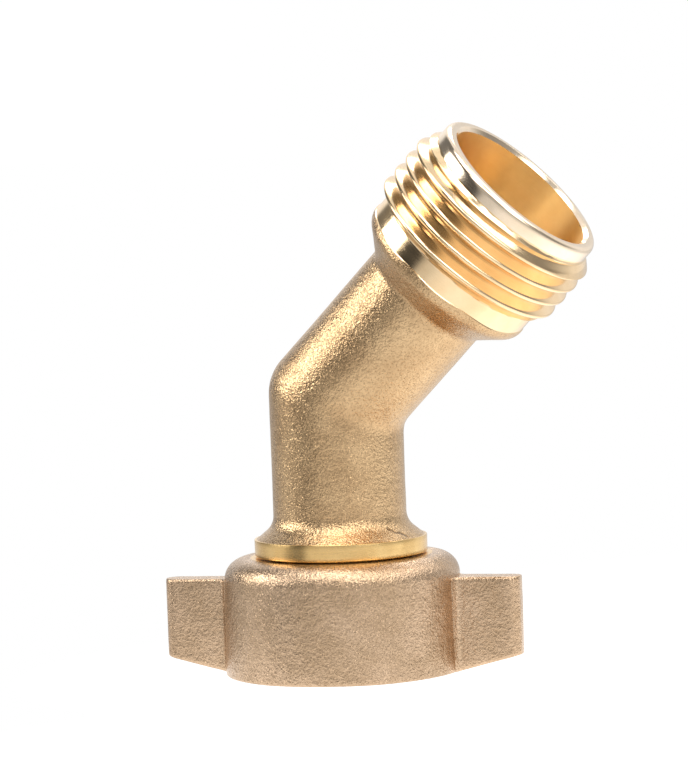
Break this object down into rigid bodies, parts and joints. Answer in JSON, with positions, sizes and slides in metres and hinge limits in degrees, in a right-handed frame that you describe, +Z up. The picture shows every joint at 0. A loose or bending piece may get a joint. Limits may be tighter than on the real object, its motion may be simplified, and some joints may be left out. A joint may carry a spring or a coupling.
{
  "type": "hose elbow with wing swivel nut",
  "caption": "Cast brass 45 degree garden hose elbow with a male threaded outlet and a two-wing swivel nut inlet.",
  "frame": {"origin": "centre of the swivel nut's open bottom face, on the axis the nut turns about; the fitting stands on this face", "axes": "+Z up the swivel axis, from the inlet into the elbow; +X the way the elbow bends, so the outlet points along +X and +Z at 45 degrees"},
  "size_m": [0.0581, 0.0306, 0.0699],
  "materials": {
    "elbow_brass": "shot blasted casting with bright turned collar, thread, nose and counterbore",
    "nut_brass": "shot blasted casting with turned top, foot and bore",
    "ring_steel": "drawn spring wire",
    "washer_rubber": "matt moulded rubber"
  },
  "bodies": {
    "elbow": {"elbow_body": "elbow_brass"},
    "ring": {"retaining_ring": "ring_steel"},
    "nut": {"swivel_nut": "nut_brass", "hose_washer": "washer_rubber"}
  },
  "joints": [
    {"name": "nut_float", "type": "slide", "parent": "elbow", "child": "ring", "axis": [0, 0, 1], "range_m": [-0.0005, 0.00018]},
    {"name": "nut_swivel", "type": "hinge", "parent": "ring", "child": "nut", "pos_m": [0, 0, 0], "axis": [0, 0, 1], "continuous": true}
  ]
}
